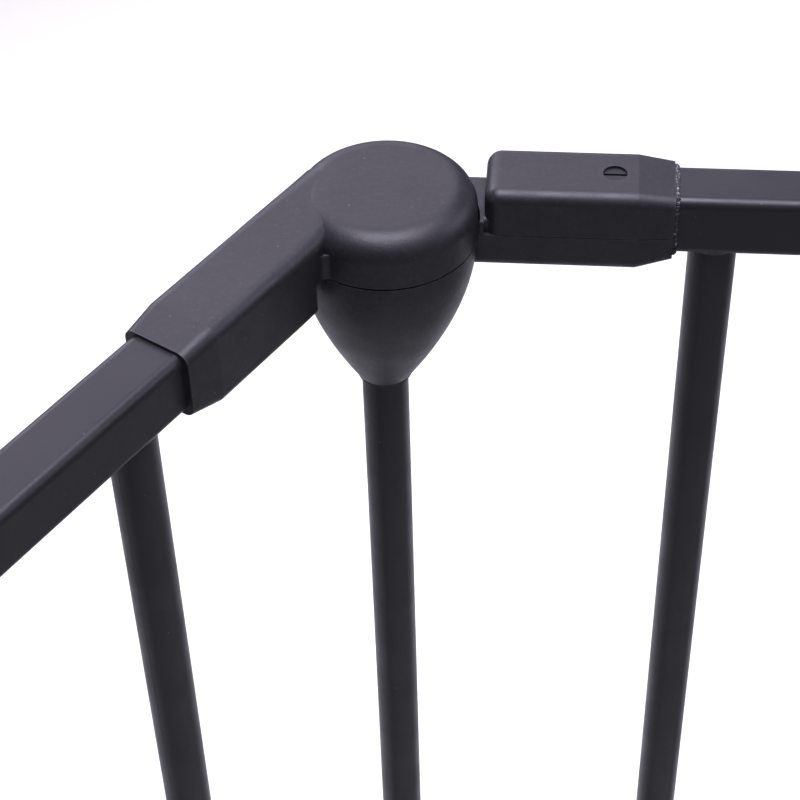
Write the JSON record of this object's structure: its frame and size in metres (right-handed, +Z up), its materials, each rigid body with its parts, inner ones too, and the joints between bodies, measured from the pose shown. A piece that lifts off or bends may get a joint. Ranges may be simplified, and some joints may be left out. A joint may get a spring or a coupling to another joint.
{
  "type": "safety baby gate",
  "caption": "Folding metal safety gate: a barred door section and a barred wing joined by moulded corner hinges, with a latched door leaf and pivoting wall clips.",
  "frame": {"origin": "on the floor, at the centre of the rubber foot under the corner hinge, on the hinge's axis", "axes": "+X along the door section away from the corner, +Y towards the outside of the corner (away from the side that the wing folds to), +Z up"},
  "size_m": [0.9887, 0.3855, 0.7536],
  "materials": {
    "moulded_black": "fine spark-eroded grain, low sheen, edges slightly polished",
    "powder_coat": "satin black powder coat with slight orange peel",
    "zinc_steel": "bright zinc plate",
    "black_screw": "blackened steel, worn at the slot",
    "rubber": "matt, dusty at the edges",
    "nylon": "natural nylon, smooth",
    "button_grey": "fine grain, satin"
  },
  "bodies": {
    "door_section": {"arm_cover_screws": "black_screw", "bearing_plates": "nylon", "bracket_screws": "black_screw", "corner_post": "powder_coat", "hinge_side_top_rail": "powder_coat", "hinge_upright": "powder_coat", "latch_keeper": "moulded_black", "latch_side_top_rail": "powder_coat", "latch_upright": "powder_coat", "lower_arm_cover": "moulded_black", "lower_hinge_bracket": "moulded_black", "lower_hub_shell": "moulded_black", "section_bar_1": "powder_coat", "section_bar_2": "powder_coat", "section_lower_end_fitting": "moulded_black", "section_outer_foot": "rubber", "section_outer_post": "powder_coat", "section_upper_end_fitting": "moulded_black", "threshold_rail": "powder_coat", "upper_arm_cover": "moulded_black", "upper_hinge_bracket": "moulded_black", "upper_hub_shell": "moulded_black", "upright_caps": "moulded_black", "upright_feet": "rubber"},
    "wing": {"corner_foot": "rubber", "hinge_studs": "zinc_steel", "lock_nuts": "zinc_steel", "spring_washers": "zinc_steel", "wing_arm_screws": "black_screw", "wing_bar_1": "powder_coat", "wing_bar_2": "powder_coat", "wing_bar_3": "powder_coat", "wing_bar_4": "powder_coat", "wing_bar_5": "powder_coat", "wing_bottom_rail": "powder_coat", "wing_lower_arm": "moulded_black", "wing_lower_end_fitting": "moulded_black", "wing_outer_foot": "rubber", "wing_outer_post": "powder_coat", "wing_top_rail": "powder_coat", "wing_upper_arm": "moulded_black", "wing_upper_end_fitting": "moulded_black"},
    "door_leaf": {"door_bar_1": "powder_coat", "door_bar_2": "powder_coat", "door_bar_3": "powder_coat", "door_bar_4": "powder_coat", "door_bar_5": "powder_coat", "door_bar_6": "powder_coat", "door_bottom_rail": "powder_coat", "door_hinge_stile": "powder_coat", "door_latch_stile": "powder_coat", "door_rail_plugs": "moulded_black", "door_top_rail": "powder_coat", "latch_housing": "moulded_black"},
    "latch_bolt": {"latch_bolt": "moulded_black"},
    "release_button": {"release_button": "button_grey"},
    "section_upper_clip": {"section_upper_wall_clip": "moulded_black"},
    "section_lower_clip": {"section_lower_wall_clip": "moulded_black"},
    "wing_upper_clip": {"wing_upper_wall_clip": "moulded_black"},
    "wing_lower_clip": {"wing_lower_wall_clip": "moulded_black"}
  },
  "joints": [
    {"name": "corner_hinge", "type": "hinge", "parent": "door_section", "child": "wing", "pos_m": [0, 0, 0], "axis": [0, 0, 1], "range_deg": [-95, 115]},
    {"name": "leaf_hinge", "type": "hinge", "parent": "door_section", "child": "door_leaf", "pos_m": [0.1582, 0.0076, 0], "axis": [0, 0, 1], "range_deg": [0, 100]},
    {"name": "bolt_slide", "type": "slide", "parent": "door_leaf", "child": "latch_bolt", "axis": [1, 0, 0], "range_m": [0, 0.01]},
    {"name": "button_press", "type": "slide", "parent": "door_leaf", "child": "release_button", "axis": [0, 1, 0], "range_m": [0, 0.003], "stiffness_N_per_m": 300},
    {"name": "section_upper_clip_pivot", "type": "hinge", "parent": "door_section", "child": "section_upper_clip", "pos_m": [0.7417, 0.0076, 0.68], "axis": [0, 0, 1], "range_deg": [-90, 90]},
    {"name": "section_lower_clip_pivot", "type": "hinge", "parent": "door_section", "child": "section_lower_clip", "pos_m": [0.7417, 0.0076, 0.075], "axis": [0, 0, 1], "range_deg": [-90, 90]},
    {"name": "wing_upper_clip_pivot", "type": "hinge", "parent": "wing", "child": "wing_upper_clip", "pos_m": [-0.21503, -0.34593, 0.68], "axis": [0, 0, 1], "range_deg": [-90, 90]},
    {"name": "wing_lower_clip_pivot", "type": "hinge", "parent": "wing", "child": "wing_lower_clip", "pos_m": [-0.21503, -0.34593, 0.075], "axis": [0, 0, 1], "range_deg": [-90, 90]}
  ]
}
